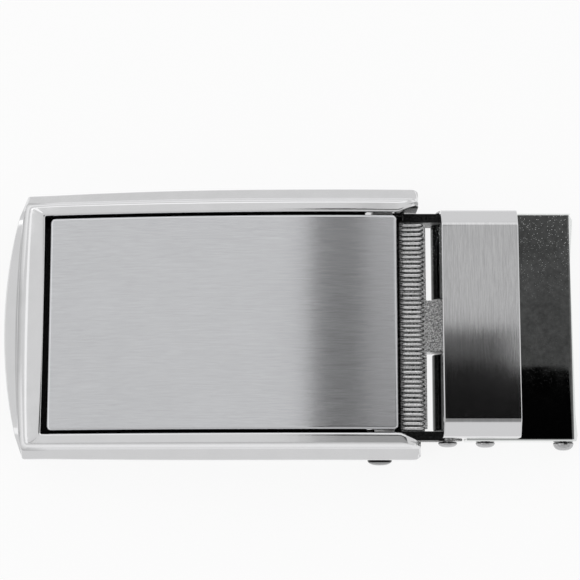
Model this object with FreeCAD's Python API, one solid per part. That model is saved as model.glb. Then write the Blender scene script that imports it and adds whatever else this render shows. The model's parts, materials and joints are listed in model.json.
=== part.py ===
import FreeCAD, Part
import math
import os

from FreeCAD import Vector

# Ratchet belt buckle for a 35 mm strap, lying on its back. All sizes are millimetres.
# +X runs along the belt, +Y across it and +Z out of the face. The origin is under the middle of the whole
# buckle, on the surface it lies on.

# The whole buckle
BUCKLE_LENGTH = 94.0
STRAP_WIDTH = 35.0
LEFT_END = -BUCKLE_LENGTH / 2
RIGHT_END = BUCKLE_LENGTH / 2
STRAP_ROOM = 0.4
ACROSS = Vector(0, 1, 0)
UP = Vector(0, 0, 1)

# Sizes of the blanks and cutters, which only have to reach past the buckle
FAR = 60.0
BLANK_HEIGHT = 20.0
BLANK_DEPTH = 16.0
BELOW = -1.0

# The arch that the face follows along the belt
ARCH_RADIUS = 296.0
ARCH_X = 7.1
FACE_HEIGHT = 11.8
ARCH_START = -11.3
ARCH_END = 5.0

# Frame: a nearly flat lip round the opening, a step down to a skirt outside it, and upright walls below
FRAME_RIGHT = 21.0
FRAME_HALF_WIDTH = 22.1
WALL_OUTER = 21.7
WALL_INNER = 19.3
LIP_INNER = 17.8
LIP_CREST = 19.55
LIP_CREST_DROP = 0.3
LIP_FOOT = 20.75
LIP_FOOT_DROP = 2.15
LIP_DEPTH = 1.4
LIP_CREST_ROUND = 0.8
LIP_FOOT_ROUND = 0.7
LIP_EDGE_ROUND = 0.3
SKIRT_DROP = 3.0
SKIRT_SLOPE_DROP = 0.1
SKIRT_EDGE = 0.75
SKIRT_OVERCUT = 0.2
CORNER_X = -42.9
CORNER_HALF_WIDTH = 21.85
CORNER_ROUND = 0.5
RAIL_END_ROUND = 1.2
RAIL_FOOT_ROUND = 0.4
RAIL_MIDDLE_X = -8.0
RAIL_BULGE = 0.08
OPENING_LEFT = -40.5
RAIL_ROLL = 4.0
RAIL_FLARE_X = 17.5
RAIL_FLARE_END = 20.6

# Left bar of the frame, over the strap's way out
BAR_CREST_X = -43.3
BAR_GROOVE_X = -44.9
BAR_GROOVE_DROP = 0.8
BAR_SKIRT_TOP = 6.1
BAR_UNDERSIDE = 5.4
BAR_WALL_LEFT = -43.4
BAR_CREST_ROUND = 1.2
BAR_GROOVE_ROUND = 2.0
BAR_EDGE_ROUND = 0.25
BAR_LOWER_ROUND = 0.2
SLOT_HALF_WIDTH = 18.0

# Base plate: an arched floor under the strap
FLOOR_TOP = 5.0
FLOOR_RADIUS = 302.0
FLOOR_THICKNESS = 0.8
FLOOR_LEFT = -43.0
FLOOR_HALF_WIDTH = 19.25
FLOOR_CLEARANCE = 0.2
FLANGE_INNER = 18.3
FLANGE_RIGHT = 12.0
OVERLAP = 1.0

# Ribbed strip at the right end of the floor
STRIP_LEFT = 17.5
STRIP_RIGHT = 21.9
STRIP_TOP = 4.7
STRIP_BOTTOM = 2.6
RIB_COUNT = 45
RIB_PITCH = 0.765
RIB_HEIGHT = 0.36
RIB_ROOT = 0.3
RIB_PROFILE = ((0.12, 0), (0.4, RIB_HEIGHT), (0.6, RIB_HEIGHT), (0.88, 0))
RIB_RIGHT = 21.5

# Hinge between the base plate and the clasp
HINGE_X = 25.8
HINGE_Z = 2.4
KNUCKLE_RADIUS = 2.4
KNUCKLE_EDGE = 0.35
TONGUE_HALF_WIDTH = 4.3
TONGUE_BOTTOM = 0.9
ARM_INNER = 17.3
ARM_OUTER = 18.8
ARM_LEFT = 18.8

# Lever: the face plate, and the pawl lever that carries it
LEVER_X = 14.6
LEVER_Z = 2.4
PLATE_LEFT = -39.25
PLATE_RIGHT = 17.1
PLATE_HALF_WIDTH = 17.4
PLATE_DROP = 0.1
PLATE_THICKNESS = 1.5
PLATE_CORNER = 1.0
PLATE_EDGE = 0.4
HUB_RADIUS = 1.3
CHEEK_INNER = 17.9
CHEEK_OUTER = 18.9
CHEEK_TOP = 9.9
CHEEK_LEFT = LEVER_X - 1.2
CHEEK_RIGHT = LEVER_X + 2.0
CHEEK_BOTTOM = LEVER_Z - 1.35
CHEEK_FOOT_ROUND = 1.2
CHEEK_TOP_ROUND = 0.4
PAD_INNER = 16.4
PAD_OUTER = 17.3
PAD_BOTTOM = 9.35
PAWL_HALF_WIDTH = 15.8
PAWL_ROOT_LEFT = LEVER_X - 1.0
PAWL_ROOT_RIGHT = LEVER_X + 1.1
PAWL_ROOT_Z = LEVER_Z + 0.3
PAWL_TIP_LEFT = LEVER_X + 0.3
PAWL_TIP_RIGHT = LEVER_X + 1.4
PAWL_TIP_Z = LEVER_Z + 2.8
PAWL_TIP_BEVEL = 0.3
PAWL_TIP_ROUND = 0.1
SEAT_GAP = 0.05

# Windows in the floor for the pawl and for the cheeks
WINDOW_LEFT = 12.6
WINDOW_RIGHT = 17.4
WINDOW_HALF_WIDTH = 16.2
NOTCH_INNER = 17.65
NOTCH_LEFT = 12.4
NOTCH_RIGHT = 18.7

# Clasp channel: sheet metal with rolled barrels, and a strap's width between its walls
SHEET = 0.8
CHANNEL_WALL = 1.0
WEB_TOP = 4.8
WEB_RIGHT = 46.0
WEB_BOW = 0.35
BARREL_INNER = 4.6
BARREL_OUTER = 17.15
BARREL_EDGE = 0.3
CHANNEL_INNER = STRAP_WIDTH / 2 + STRAP_ROOM
CHANNEL_OUTER = CHANNEL_INNER + CHANNEL_WALL
CHANNEL_LEFT = 28.7
CHANNEL_EDGE = 0.35
CHANNEL_HEEL_ROUND = 1.4
CHANNEL_TOE_ROUND = 0.8
CHANNEL_MOUTH_ROUND = 1.6

# Keeper band
BAND_LEFT = 24.5
BAND_RIGHT = 37.0
BAND_TOP = 10.8
BAND_THICKNESS = 1.0
BAND_HALF_WIDTH = 18.6
BAND_CREASE = 15.9
BAND_CREASE_ROUND = 0.2
BAND_INNER_CREASE = 15.5
BAND_SHOULDER = 9.4
BAND_SHOULDER_ROUND = 0.8
BAND_INNER_SHOULDER = 8.8
BAND_NOTCH_RIGHT = 29.0
BAND_NOTCH_TOP = 5.8

# Clamp jaw
JAW_X = 44.9
JAW_Z = 1.8
JAW_LEFT = 34.2
JAW_RIGHT = 44.6
JAW_BOTTOM = 0.25
JAW_LIFT = 0.4
JAW_THICKNESS = 0.9
JAW_ROUND = 0.4
JAW_HALF_WIDTH = 17.65
JAW_HUB = 1.15
JAW_TEETH = 4
JAW_TEETH_LEFT = 40.9
JAW_TEETH_HALF_WIDTH = 17.05
JAW_TOOTH_PITCH = 0.9
JAW_TOOTH_TIP = 0.8
JAW_TOOTH_HEIGHT = 0.6
JAW_TOOTH_TOP = 2.75
STOP_X = 32.0
STOP_Z = 2.2

# Rivets: shank radius, head radius and head height
LEVER_RIVET = (0.8, 2.05, 1.05)
HINGE_RIVET = (0.9, 1.6, 1.0)
STOP_RIVET = (0.8, 1.6, 0.95)
JAW_RIVET = (0.6, 1.7, 1.4)
FIXED_FIT = 0.02
RUNNING_FIT = 0.05


def side(x, z, y=0.0):
    """A point of a profile drawn in the side view."""
    return Vector(x, y, z)


def plan(x, y, z=0.0):
    """A point of an outline drawn in the plan view."""
    return Vector(x, y, z)


def section(y, z, x=0.0):
    """A point of a profile drawn across the belt."""
    return Vector(x, y, z)


def rounded_face(corners):
    """A flat face inside a closed row of (point, radius) corners; radius 0 keeps a corner sharp."""
    count = len(corners)
    bends = []
    for index, (point, radius) in enumerate(corners):
        before = (corners[index - 1][0] - point).normalize()
        after = (corners[(index + 1) % count][0] - point).normalize()
        if radius == 0:
            bends.append((point, None, point))
            continue
        half = before.getAngle(after) / 2
        reach = radius / math.tan(half)
        inward = (before + after).normalize()
        crown = point + inward * (radius / math.sin(half) - radius)
        bends.append((point + before * reach, crown, point + after * reach))
    edges = []
    for index, (start, crown, end) in enumerate(bends):
        if crown is not None:
            edges.append(Part.Arc(start, crown, end).toShape())
        following = bends[(index + 1) % count][0]
        if (following - end).Length > 1e-6:
            edges.append(Part.LineSegment(end, following).toShape())
    return Part.Face(Part.Wire(edges))


def sharp(points):
    return [(point, 0) for point in points]


def box(x0, x1, y0, y1, z0, z1):
    return Part.makeBox(x1 - x0, y1 - y0, z1 - z0, Vector(x0, y0, z0))


def both_sides(x0, x1, y0, y1, z0, z1):
    """The same box on the near and on the far side of the belt."""
    return box(x0, x1, y0, y1, z0, z1).fuse(box(x0, x1, -y1, -y0, z0, z1))


def rod(x, z, radius, y0, y1):
    return Part.makeCylinder(radius, y1 - y0, Vector(x, y0, z), ACROSS)


def across(face, y0, y1):
    """Sweeps a side-view face straight across the belt, from y0 to y1."""
    moved = face.copy()
    moved.translate(Vector(0, y0, 0))
    return moved.extrude(Vector(0, y1 - y0, 0))


def both_across(face, y0, y1):
    return across(face, y0, y1).fuse(across(face, -y1, -y0))


def arch_height(x, radius=ARCH_RADIUS, top=FACE_HEIGHT):
    return top - radius + math.sqrt(radius**2 - (x - ARCH_X) ** 2)


def arch_slope(x, radius=ARCH_RADIUS):
    return -(x - ARCH_X) / math.sqrt(radius**2 - (x - ARCH_X) ** 2)


def along_arch(face):
    """Turns a cross-section, drawn at ARCH_X, about the arch's axis, along the whole buckle."""
    axis_point = Vector(ARCH_X, 0, FACE_HEIGHT - ARCH_RADIUS)
    turned = face.copy()
    turned.rotate(axis_point, ACROSS, ARCH_START)
    return turned.revolve(axis_point, ACROSS, ARCH_END - ARCH_START)


def under_arch(half_width, drop, depth):
    """A bar whose top lies drop below the face all along the arch."""
    top = FACE_HEIGHT - drop
    corners = [
        section(-half_width, top - depth, ARCH_X),
        section(half_width, top - depth, ARCH_X),
        section(half_width, top, ARCH_X),
        section(-half_width, top, ARCH_X),
    ]
    return along_arch(rounded_face(sharp(corners)))


def edges_where(shape, test):
    """The edges whose middle and both ends all pass the test."""
    chosen = []
    for edge in shape.Edges:
        middle = edge.valueAt((edge.FirstParameter + edge.LastParameter) / 2)
        ends = [vertex.Point for vertex in edge.Vertexes]
        if all(test(point) for point in [middle] + ends):
            chosen.append(edge)
    return chosen


def upright_corners(shape, test=lambda point: True):
    """The straight upright edges of a prism, where both ends pass the test."""
    chosen = []
    for edge in shape.Edges:
        a, b = edge.Vertexes[0].Point, edge.Vertexes[-1].Point
        upright = abs(a.x - b.x) < 1e-6 and abs(a.y - b.y) < 1e-6
        if upright and test(a):
            chosen.append(edge)
    return chosen


def rivet(x, z, sizes, half_grip):
    """A pin across the belt with a domed head outside each wall."""
    shank, head, height = sizes
    dome = (head**2 + height**2) / (2 * height)
    solid = rod(x, z, shank, -half_grip, half_grip)
    for sign in (-1, 1):
        lean = math.asin(min(head / dome, 1.0)) / 2
        centre = half_grip + height - dome
        mid = Vector(x + dome * math.sin(lean), sign * (centre + dome * math.cos(lean)), z)
        foot = Vector(x, sign * half_grip, z)
        rim = Vector(x + head, sign * half_grip, z)
        top = Vector(x, sign * (half_grip + height), z)
        edges = [
            Part.LineSegment(foot, rim).toShape(),
            Part.Arc(rim, mid, top).toShape(),
            Part.LineSegment(top, foot).toShape(),
        ]
        cap = Part.Face(Part.Wire(edges)).revolve(Vector(x, 0, z), ACROSS, 360)
        solid = solid.fuse(cap)
    return solid.removeSplitter()


def frame_cross_section():
    """The frame's section across the belt: lip, step, skirt, skirt edge and wall, the same on both sides."""
    top = FACE_HEIGHT
    skirt_bottom = top - SKIRT_DROP - SKIRT_EDGE
    skirt_top = top - SKIRT_DROP - SKIRT_SLOPE_DROP
    skirt_reach = FRAME_HALF_WIDTH + SKIRT_OVERCUT
    half = [
        (section(WALL_OUTER, top - BLANK_DEPTH, ARCH_X), 0),
        (section(WALL_OUTER, skirt_bottom, ARCH_X), 0),
        (section(skirt_reach, skirt_bottom, ARCH_X), 0),
        (section(skirt_reach, skirt_top, ARCH_X), 0),
        (section(LIP_FOOT, top - LIP_FOOT_DROP, ARCH_X), LIP_FOOT_ROUND),
        (section(LIP_CREST, top - LIP_CREST_DROP, ARCH_X), LIP_CREST_ROUND),
        (section(LIP_INNER - LIP_EDGE_ROUND, top, ARCH_X), 0),
    ]
    mirrored = [(Vector(p.x, -p.y, p.z), radius) for p, radius in reversed(half)]
    return rounded_face(half + mirrored)


def frame_side_profile():
    """The frame from the side: flat below, rolled over at the right end, stepped down at the left end."""
    right_tangent = FRAME_RIGHT - RAIL_ROLL
    right_slope = arch_slope(right_tangent)
    left_slope = arch_slope(OPENING_LEFT)
    left_z = arch_height(OPENING_LEFT)
    right_z = arch_height(right_tangent)
    gap = right_z - left_z - right_slope * right_tangent + left_slope * OPENING_LEFT
    peak_x = gap / (left_slope - right_slope)
    peak_z = right_z + right_slope * (peak_x - right_tangent)
    corner_z = right_z + right_slope * RAIL_ROLL
    crest_z = arch_height(BAR_CREST_X) - LIP_CREST_DROP
    return rounded_face(
        [
            (side(BAR_WALL_LEFT, 0), 0),
            (side(FRAME_RIGHT, 0), RAIL_FOOT_ROUND),
            (side(FRAME_RIGHT, corner_z), RAIL_ROLL),
            (side(peak_x, peak_z), 0),
            (side(OPENING_LEFT, left_z), 0),
            (side(BAR_CREST_X, crest_z), BAR_CREST_ROUND),
            (side(BAR_GROOVE_X, crest_z - BAR_GROOVE_DROP), BAR_GROOVE_ROUND),
            (side(LEFT_END, BAR_SKIRT_TOP), BAR_EDGE_ROUND),
            (side(LEFT_END, BAR_UNDERSIDE), BAR_LOWER_ROUND),
            (side(BAR_WALL_LEFT, BAR_UNDERSIDE), 0),
        ]
    )


def frame_outline():
    """The frame's plan: long sides that close in slightly to the left, and a bowed left end."""
    corners = {
        "right_far": plan(FRAME_RIGHT, FRAME_HALF_WIDTH),
        "right_near": plan(FRAME_RIGHT, -FRAME_HALF_WIDTH),
        "left_far": plan(CORNER_X, CORNER_HALF_WIDTH),
        "left_near": plan(CORNER_X, -CORNER_HALF_WIDTH),
    }
    waist = FRAME_HALF_WIDTH + RAIL_BULGE
    bow = Part.Arc(corners["left_near"], plan(LEFT_END, 0), corners["left_far"]).toShape()
    far = Part.Arc(corners["left_far"], plan(RAIL_MIDDLE_X, waist), corners["right_far"]).toShape()
    end = Part.LineSegment(corners["right_far"], corners["right_near"]).toShape()
    near = Part.Arc(corners["right_near"], plan(RAIL_MIDDLE_X, -waist), corners["left_near"]).toShape()
    prism = Part.Face(Part.Wire([bow, far, end, near])).extrude(UP * BLANK_HEIGHT)
    prism = prism.makeFillet(RAIL_END_ROUND, upright_corners(prism, lambda p: p.x > 0))
    return prism.makeFillet(CORNER_ROUND, upright_corners(prism, lambda p: p.x < 0 and abs(p.y) > LIP_FOOT))


def frame_opening():
    """The opening that the face plate fills, with flared corners at the right end."""
    half = [
        plan(OPENING_LEFT, LIP_INNER, BAR_UNDERSIDE),
        plan(RAIL_FLARE_X, LIP_INNER, BAR_UNDERSIDE),
        plan(RAIL_FLARE_END, WALL_INNER, BAR_UNDERSIDE),
        plan(FAR, WALL_INNER, BAR_UNDERSIDE),
    ]
    mirrored = [Vector(p.x, -p.y, p.z) for p in reversed(half)]
    return rounded_face(sharp(half + mirrored)).extrude(UP * BLANK_HEIGHT)


def bezel_frame():
    solid = along_arch(frame_cross_section())
    solid = solid.common(across(frame_side_profile(), -FAR, FAR))
    solid = solid.common(frame_outline())
    solid = solid.cut(frame_opening())
    room = under_arch(WALL_INNER, LIP_DEPTH, BLANK_DEPTH)
    solid = solid.cut(room.common(box(OPENING_LEFT, FAR, -FAR, FAR, BELOW, BLANK_HEIGHT)))
    slot = box(-FAR, OPENING_LEFT, -SLOT_HALF_WIDTH, SLOT_HALF_WIDTH, BELOW, BAR_UNDERSIDE)
    solid = solid.cut(slot)
    solid = solid.cut(rod(LEVER_X, LEVER_Z, LEVER_RIVET[0] + FIXED_FIT, -FAR, FAR))
    solid = solid.removeSplitter()
    rails = [edge for edge in edges_where(solid, on_lip_edge) if edge.Length > FRAME_HALF_WIDTH]
    return solid.makeFillet(LIP_EDGE_ROUND, rails)


def on_lip_edge(point):
    """True on the upper edge of the opening, along the two rails."""
    near_top = point.z > arch_height(point.x) - LIP_EDGE_ROUND
    return near_top and abs(abs(point.y) - LIP_INNER) < 1e-3 and point.x < RAIL_FLARE_X + 1e-3


def floor_height(x):
    return arch_height(x, FLOOR_RADIUS, FLOOR_TOP)


def floor_profile(x0, x1):
    """The floor from the side: two arcs, one sheet thickness apart."""
    middle = (x0 + x1) / 2
    points = [(x0, 0), (middle, 0), (x1, 0), (x1, 1), (middle, 1), (x0, 1)]
    top = [side(x, floor_height(x) - down * FLOOR_THICKNESS) for x, down in points]
    edges = [
        Part.Arc(top[0], top[1], top[2]).toShape(),
        Part.LineSegment(top[2], top[3]).toShape(),
        Part.Arc(top[3], top[4], top[5]).toShape(),
        Part.LineSegment(top[5], top[0]).toShape(),
    ]
    return Part.Face(Part.Wire(edges))


def ribs():
    """The ridges along the belt on the ribbed strip, as one comb."""
    width = RIB_COUNT * RIB_PITCH
    start = -width / 2
    points = [section(start, STRIP_TOP - RIB_ROOT, STRIP_LEFT)]
    for index in range(RIB_COUNT):
        left = start + index * RIB_PITCH
        for share, height in RIB_PROFILE:
            points.append(section(left + share * RIB_PITCH, STRIP_TOP + height, STRIP_LEFT))
    points.append(section(start + width, STRIP_TOP - RIB_ROOT, STRIP_LEFT))
    face = rounded_face(sharp(points))
    return face.extrude(Vector(RIB_RIGHT - STRIP_LEFT, 0, 0))


def tongue():
    """The middle knuckle of the hinge, on a bar that comes from under the ribbed strip."""
    root = STRIP_RIGHT - OVERLAP
    top = HINGE_Z + KNUCKLE_RADIUS
    corners = [
        (section(-TONGUE_HALF_WIDTH, TONGUE_BOTTOM, root), 0),
        (section(TONGUE_HALF_WIDTH, TONGUE_BOTTOM, root), 0),
        (section(TONGUE_HALF_WIDTH, top, root), KNUCKLE_EDGE),
        (section(-TONGUE_HALF_WIDTH, top, root), KNUCKLE_EDGE),
    ]
    bar = rounded_face(corners).extrude(Vector(HINGE_X - root, 0, 0))
    knuckle = rod(HINGE_X, HINGE_Z, KNUCKLE_RADIUS, -TONGUE_HALF_WIDTH, TONGUE_HALF_WIDTH)
    ends = edges_where(knuckle, lambda p: abs(abs(p.y) - TONGUE_HALF_WIDTH) < 1e-3)
    return bar.fuse(knuckle.makeFillet(KNUCKLE_EDGE, ends))


def arms():
    """The two outer ears of the hinge."""
    z1 = HINGE_Z + KNUCKLE_RADIUS
    bars = both_sides(ARM_LEFT, HINGE_X, ARM_INNER, ARM_OUTER, 0, z1)
    for y0, y1 in ((ARM_INNER, ARM_OUTER), (-ARM_OUTER, -ARM_INNER)):
        bars = bars.fuse(rod(HINGE_X, HINGE_Z, KNUCKLE_RADIUS, y0, y1))
    return bars


def base_plate():
    left = OPENING_LEFT + FLOOR_CLEARANCE
    solid = across(floor_profile(left, STRIP_LEFT + OVERLAP / 2), -FLOOR_HALF_WIDTH, FLOOR_HALF_WIDTH)
    tab = SLOT_HALF_WIDTH - SEAT_GAP
    solid = solid.fuse(across(floor_profile(FLOOR_LEFT, OPENING_LEFT + OVERLAP), -tab, tab))
    flanges = both_sides(left, FLANGE_RIGHT, FLANGE_INNER, FLOOR_HALF_WIDTH, 0, BLANK_HEIGHT)
    solid = solid.fuse(flanges.common(floor_fill(FLOOR_LEFT, FLANGE_RIGHT + OVERLAP)))
    solid = solid.fuse(box(STRIP_LEFT, STRIP_RIGHT, -ARM_OUTER, ARM_OUTER, STRIP_BOTTOM, STRIP_TOP))
    window = box(WINDOW_LEFT, WINDOW_RIGHT, -WINDOW_HALF_WIDTH, WINDOW_HALF_WIDTH, BELOW, BLANK_HEIGHT)
    solid = solid.cut(window)
    solid = solid.cut(both_sides(NOTCH_LEFT, NOTCH_RIGHT, NOTCH_INNER, FAR, BELOW, BLANK_HEIGHT))
    solid = solid.fuse(ribs())
    solid = solid.fuse(tongue())
    solid = solid.fuse(arms())
    solid = solid.cut(rod(HINGE_X, HINGE_Z, HINGE_RIVET[0] + FIXED_FIT, -FAR, FAR))
    return solid.removeSplitter()


def floor_fill(x0, x1):
    """All that lies between the floor's top and z = 0."""
    middle = (x0 + x1) / 2
    points = [side(x, floor_height(x)) for x in (x0, middle, x1)]
    edges = [
        Part.Arc(points[0], points[1], points[2]).toShape(),
        Part.LineSegment(points[2], side(x1, 0)).toShape(),
        Part.LineSegment(side(x1, 0), side(x0, 0)).toShape(),
        Part.LineSegment(side(x0, 0), points[0]).toShape(),
    ]
    return across(Part.Face(Part.Wire(edges)), -FAR, FAR)


def face_plate():
    solid = under_arch(PLATE_HALF_WIDTH, PLATE_DROP, PLATE_THICKNESS)
    outline = box(PLATE_LEFT, PLATE_RIGHT, -PLATE_HALF_WIDTH, PLATE_HALF_WIDTH, 0, BLANK_HEIGHT)
    outline = outline.makeFillet(PLATE_CORNER, upright_corners(outline))
    solid = solid.common(outline).removeSplitter()
    rim = edges_where(solid, on_plate_rim)
    return solid.makeFillet(PLATE_EDGE, rim)


def on_plate_rim(point):
    """True on the plate's upper edge."""
    from_axis = math.hypot(point.x - ARCH_X, point.z - FACE_HEIGHT + ARCH_RADIUS)
    return abs(from_axis - ARCH_RADIUS + PLATE_DROP) < 1e-3


def pawl_lever():
    """A hub on the lever pin, a cheek beside each edge of the strap, and the pawl's edge below the strap."""
    solid = rod(LEVER_X, LEVER_Z, HUB_RADIUS, -CHEEK_OUTER, CHEEK_OUTER)
    cheek = rounded_face(
        [
            (side(CHEEK_LEFT, CHEEK_BOTTOM), CHEEK_FOOT_ROUND),
            (side(CHEEK_RIGHT, CHEEK_BOTTOM), CHEEK_FOOT_ROUND),
            (side(CHEEK_RIGHT, CHEEK_TOP), CHEEK_TOP_ROUND),
            (side(CHEEK_LEFT, CHEEK_TOP), CHEEK_TOP_ROUND),
        ]
    )
    solid = solid.fuse(both_across(cheek, CHEEK_INNER, CHEEK_OUTER))
    ledge_top = CHEEK_TOP - 2 * SEAT_GAP
    ledge_outer = CHEEK_OUTER - CHEEK_TOP_ROUND
    solid = solid.fuse(both_sides(CHEEK_LEFT, CHEEK_RIGHT, PAD_INNER, ledge_outer, PAD_BOTTOM, ledge_top))
    pads = both_sides(CHEEK_LEFT, CHEEK_RIGHT, PAD_INNER, PAD_OUTER, PAD_BOTTOM, BLANK_HEIGHT)
    seat = under_arch(FAR, PLATE_DROP + PLATE_THICKNESS + SEAT_GAP, BLANK_DEPTH)
    solid = solid.fuse(pads.common(seat))
    pawl = rounded_face(
        [
            (side(PAWL_ROOT_LEFT, PAWL_ROOT_Z), 0),
            (side(PAWL_ROOT_RIGHT, PAWL_ROOT_Z), 0),
            (side(PAWL_TIP_RIGHT, PAWL_TIP_Z), PAWL_TIP_ROUND),
            (side(PAWL_TIP_LEFT, PAWL_TIP_Z - PAWL_TIP_BEVEL), PAWL_TIP_ROUND),
        ]
    )
    solid = solid.fuse(across(pawl, -PAWL_HALF_WIDTH, PAWL_HALF_WIDTH))
    solid = solid.cut(rod(LEVER_X, LEVER_Z, LEVER_RIVET[0] + RUNNING_FIT, -FAR, FAR))
    return solid.removeSplitter()


def clasp_channel():
    """Web, side walls and two rolled barrels, from one dark polished sheet."""
    outer = rounded_face(
        sharp([section(-CHANNEL_OUTER, 0, CHANNEL_LEFT), section(CHANNEL_OUTER, 0, CHANNEL_LEFT)])
        + [
            (section(CHANNEL_OUTER, WEB_TOP, CHANNEL_LEFT), CHANNEL_EDGE),
            (section(-CHANNEL_OUTER, WEB_TOP, CHANNEL_LEFT), CHANNEL_EDGE),
        ]
    )
    solid = outer.extrude(Vector(RIGHT_END - CHANNEL_LEFT, 0, 0))
    solid = solid.cut(box(0, FAR, -CHANNEL_INNER, CHANNEL_INNER, BELOW, WEB_TOP - SHEET))
    far_corner = plan(WEB_RIGHT, CHANNEL_INNER)
    near_corner = plan(WEB_RIGHT, -CHANNEL_INNER)
    mouth = [
        Part.Arc(far_corner, plan(WEB_RIGHT - WEB_BOW, 0), near_corner),
        Part.LineSegment(near_corner, plan(FAR, -CHANNEL_INNER)),
        Part.LineSegment(plan(FAR, -CHANNEL_INNER), plan(FAR, CHANNEL_INNER)),
        Part.LineSegment(plan(FAR, CHANNEL_INNER), far_corner),
    ]
    beyond = Part.Face(Part.Wire([edge.toShape() for edge in mouth])).extrude(UP * BLANK_HEIGHT)
    solid = solid.cut(beyond)
    ends = rounded_face(
        [
            (side(CHANNEL_LEFT, 0), CHANNEL_HEEL_ROUND),
            (side(RIGHT_END, 0), CHANNEL_TOE_ROUND),
            (side(RIGHT_END, WEB_TOP + OVERLAP), CHANNEL_MOUTH_ROUND),
            (side(CHANNEL_LEFT, WEB_TOP + OVERLAP), 0),
        ]
    )
    solid = solid.common(across(ends, -FAR, FAR))
    tail = both_sides(HINGE_X, CHANNEL_LEFT + OVERLAP, BARREL_INNER, BARREL_OUTER, WEB_TOP - SHEET, WEB_TOP)
    solid = solid.fuse(tail)
    for y0, y1 in ((BARREL_INNER, BARREL_OUTER), (-BARREL_OUTER, -BARREL_INNER)):
        barrel = rod(HINGE_X, HINGE_Z, KNUCKLE_RADIUS, y0, y1)
        solid = solid.fuse(barrel.makeFillet(BARREL_EDGE, edges_where(barrel, at_barrel_end)))
    solid = solid.cut(rod(HINGE_X, HINGE_Z, HINGE_RIVET[0] + RUNNING_FIT, -FAR, FAR))
    solid = solid.cut(rod(STOP_X, STOP_Z, STOP_RIVET[0] + FIXED_FIT, -FAR, FAR))
    solid = solid.cut(rod(JAW_X, JAW_Z, JAW_RIVET[0] + FIXED_FIT, -FAR, FAR))
    return solid.removeSplitter()


def at_barrel_end(point):
    return min(abs(abs(point.y) - BARREL_INNER), abs(abs(point.y) - BARREL_OUTER)) < 1e-3


def band_ring(half_width, top, crease, shoulder):
    """A closed section across the belt: straight legs, slanted shoulders and a flat top."""
    foot = WEB_TOP
    half = [
        (section(half_width, foot, BAND_LEFT), 0),
        (section(half_width, shoulder, BAND_LEFT), BAND_SHOULDER_ROUND),
        (section(crease, top, BAND_LEFT), BAND_CREASE_ROUND),
    ]
    mirrored = [(Vector(p.x, -p.y, p.z), radius) for p, radius in reversed(half)]
    face = rounded_face(half + mirrored)
    return face.extrude(Vector(BAND_RIGHT - BAND_LEFT, 0, 0))


def keeper_band():
    outer = band_ring(BAND_HALF_WIDTH, BAND_TOP, BAND_CREASE, BAND_SHOULDER)
    inner = band_ring(
        BAND_HALF_WIDTH - BAND_THICKNESS,
        BAND_TOP - BAND_THICKNESS,
        BAND_INNER_CREASE,
        BAND_INNER_SHOULDER,
    )
    solid = outer.cut(inner)
    solid = solid.cut(box(0, BAND_NOTCH_RIGHT, -FAR, FAR, 0, BAND_NOTCH_TOP))
    return solid.removeSplitter()


def clamp_jaw():
    """A flap with a hub at the clasp's mouth and teeth that bite the strap's cut end."""
    solid = rod(JAW_X, JAW_Z, JAW_HUB, -JAW_HALF_WIDTH, JAW_HALF_WIDTH)
    flap = rounded_face(
        [
            (side(JAW_LEFT, JAW_BOTTOM), JAW_ROUND),
            (side(JAW_RIGHT, JAW_BOTTOM + JAW_LIFT), 0),
            (side(JAW_RIGHT, JAW_BOTTOM + JAW_LIFT + JAW_THICKNESS), 0),
            (side(JAW_LEFT, JAW_BOTTOM + JAW_THICKNESS), JAW_ROUND),
        ]
    )
    solid = solid.fuse(across(flap, -JAW_HALF_WIDTH, JAW_HALF_WIDTH))
    valley = JAW_TOOTH_TOP - JAW_TOOTH_HEIGHT
    last = JAW_TEETH_LEFT + JAW_TEETH * JAW_TOOTH_PITCH
    points = [side(JAW_TEETH_LEFT, JAW_BOTTOM + JAW_LIFT)]
    for index in range(JAW_TEETH):
        x = JAW_TEETH_LEFT + index * JAW_TOOTH_PITCH
        points.append(side(x, valley))
        points.append(side(x + JAW_TOOTH_TIP * JAW_TOOTH_PITCH, JAW_TOOTH_TOP))
    points.append(side(last, valley))
    points.append(side(last, JAW_BOTTOM + JAW_LIFT))
    teeth = rounded_face(sharp(points))
    solid = solid.fuse(across(teeth, -JAW_TEETH_HALF_WIDTH, JAW_TEETH_HALF_WIDTH))
    solid = solid.cut(rod(JAW_X, JAW_Z, JAW_RIVET[0] + RUNNING_FIT, -FAR, FAR))
    return solid.removeSplitter()


def build():
    return {
        "bezel_frame": bezel_frame(),
        "base_plate": base_plate(),
        "lever_pin": rivet(LEVER_X, LEVER_Z, LEVER_RIVET, WALL_OUTER),
        "hinge_pin": rivet(HINGE_X, HINGE_Z, HINGE_RIVET, ARM_OUTER),
        "face_plate": face_plate(),
        "pawl_lever": pawl_lever(),
        "clasp_channel": clasp_channel(),
        "keeper_band": keeper_band(),
        "stop_pin": rivet(STOP_X, STOP_Z, STOP_RIVET, CHANNEL_OUTER),
        "jaw_pin": rivet(JAW_X, JAW_Z, JAW_RIVET, CHANNEL_OUTER),
        "clamp_jaw": clamp_jaw(),
    }


def one_solid(name, shape):
    if len(shape.Solids) != 1:
        raise ValueError(f"{name} is {len(shape.Solids)} solids")
    solid = shape.Solids[0]
    if not solid.isValid():
        raise ValueError(f"{name} is not valid")
    return solid


os.makedirs("parts", exist_ok=True)
for name, shape in build().items():
    solid = one_solid(name, shape)
    reach = solid.optimalBoundingBox(False, False)
    print(
        f"{name}: volume {solid.Volume:.1f} mm3,"
        f" x {reach.XMin:.2f} to {reach.XMax:.2f},"
        f" y {reach.YMin:.2f} to {reach.YMax:.2f},"
        f" z {reach.ZMin:.2f} to {reach.ZMax:.2f}"
    )
    solid.exportStep(f"parts/{name}.step")
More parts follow.
